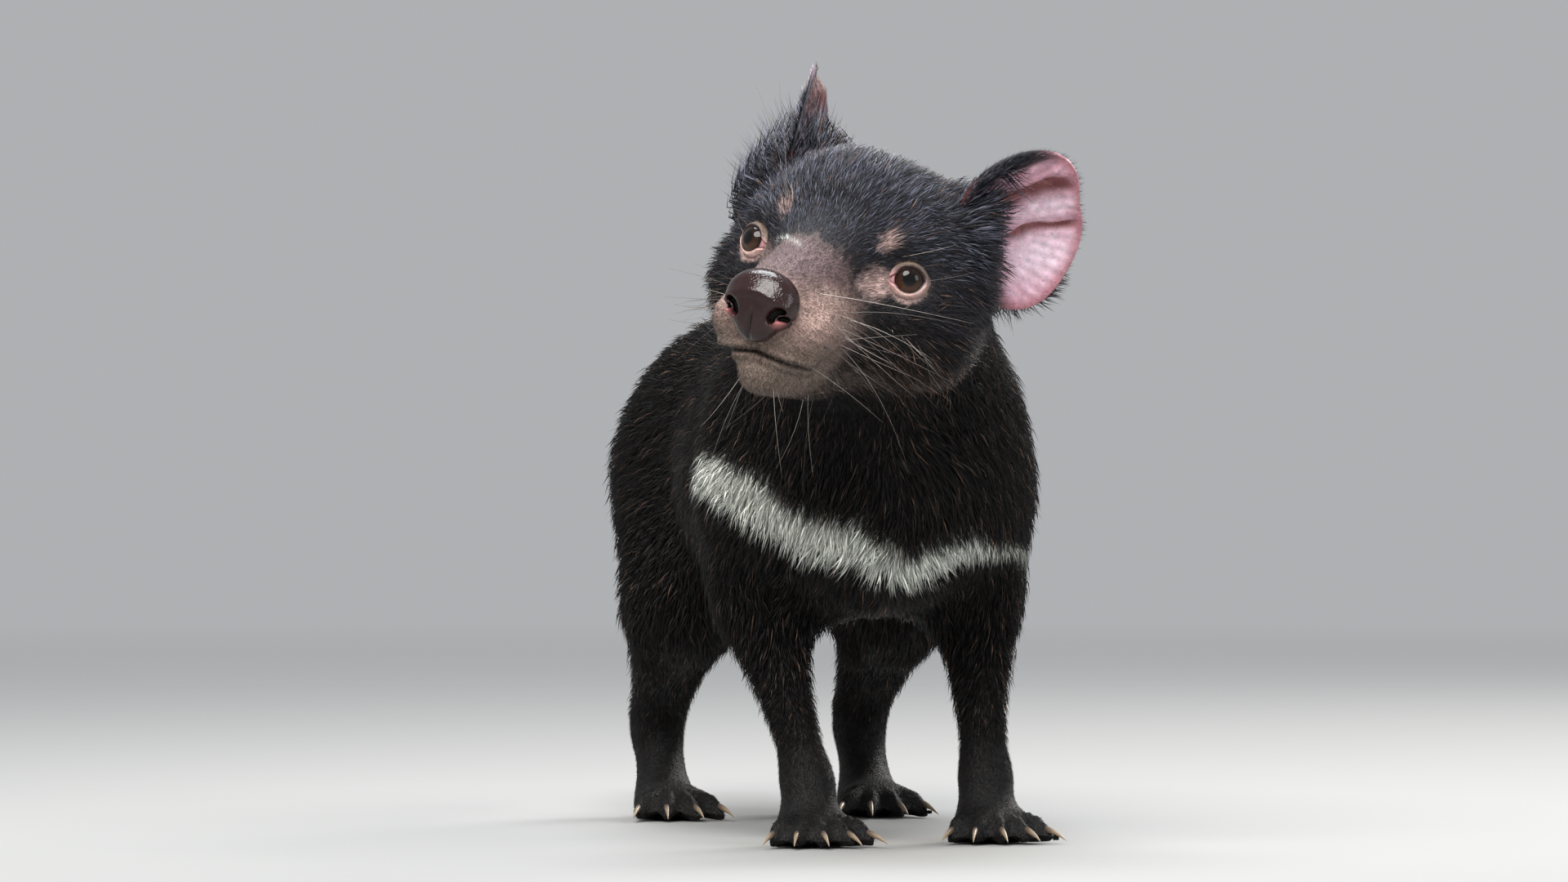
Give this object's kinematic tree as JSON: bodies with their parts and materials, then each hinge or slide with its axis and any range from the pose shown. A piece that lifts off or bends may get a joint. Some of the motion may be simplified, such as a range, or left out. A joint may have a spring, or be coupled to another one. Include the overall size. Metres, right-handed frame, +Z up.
{
  "type": "tasmanian devil",
  "caption": "Young Tasmanian devil standing on all fours with its head raised and turned, a still life-size model in black fur with a white chest band.",
  "frame": {"origin": "centre of the model's box in X and Y, at the height of the soles", "axes": "+Z up, -Y towards the front of the body, +X to the animal's left"},
  "size_m": [0.1558, 0.5848, 0.303],
  "materials": {
    "black_fur": "short dense fur, dull",
    "grey_fur": "short dense fur with pale tips",
    "white_fur": "short dense fur, dull",
    "muzzle_skin": "thinly haired skin",
    "nose_skin": "wet and glossy",
    "ear_skin": "bare satin skin",
    "eye": "wet and glossy",
    "claw": "satin horn"
  },
  "bodies": {
    "root": {"head": "grey_fur", "muzzle": "muzzle_skin", "lower_jaw": "muzzle_skin", "nose_pad": "nose_skin", "eye_left": "eye", "eye_right": "eye", "ear_left": "ear_skin", "ear_right": "ear_skin", "neck": "black_fur", "chest": "black_fur", "belly": "black_fur", "rump": "black_fur", "tail_base": "black_fur", "tail_end": "black_fur", "foreleg_left": "black_fur", "forepaw_left": "black_fur", "thigh_left": "black_fur", "shank_left": "black_fur", "hindpaw_left": "black_fur", "foreleg_right": "black_fur", "forepaw_right": "black_fur", "thigh_right": "black_fur", "shank_right": "black_fur", "hindpaw_right": "black_fur"}
  },
  "joints": []
}
